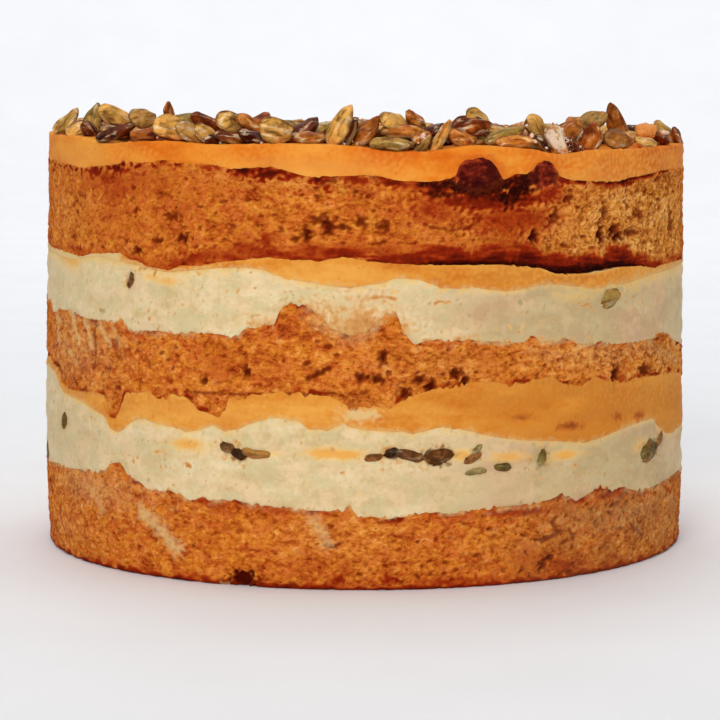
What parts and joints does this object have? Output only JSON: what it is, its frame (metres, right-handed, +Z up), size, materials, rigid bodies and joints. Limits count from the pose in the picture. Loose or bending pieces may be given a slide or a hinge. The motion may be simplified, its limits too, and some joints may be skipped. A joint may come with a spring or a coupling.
{
  "type": "layered pumpkin cake",
  "caption": "Whole round layered pumpkin cake with bare sides, pale cream and orange filling between sponge layers, orange frosting and a top covered in toasted pumpkin seeds.",
  "frame": {"origin": "centre of the flat base the cake stands on", "axes": "+Z up along the cake's axis; the side shown in the picture faces -Y, +X is to its right"},
  "size_m": [0.151, 0.151, 0.1032],
  "materials": {
    "sponge": "moist orange-brown crumb with open pores",
    "cream": "smooth ivory cream with small pits and specks",
    "filling": "soft orange pumpkin filling and frosting, satin",
    "seeds": "toasted and glazed olive-brown pumpkin seeds"
  },
  "bodies": {
    "root": {"cake_bottom": "sponge", "cream_lower": "cream", "filling_lower": "filling", "cake_middle": "sponge", "cream_upper": "cream", "filling_upper": "filling", "cake_top": "sponge", "frosting": "filling", "seed_heap": "seeds"}
  },
  "joints": []
}
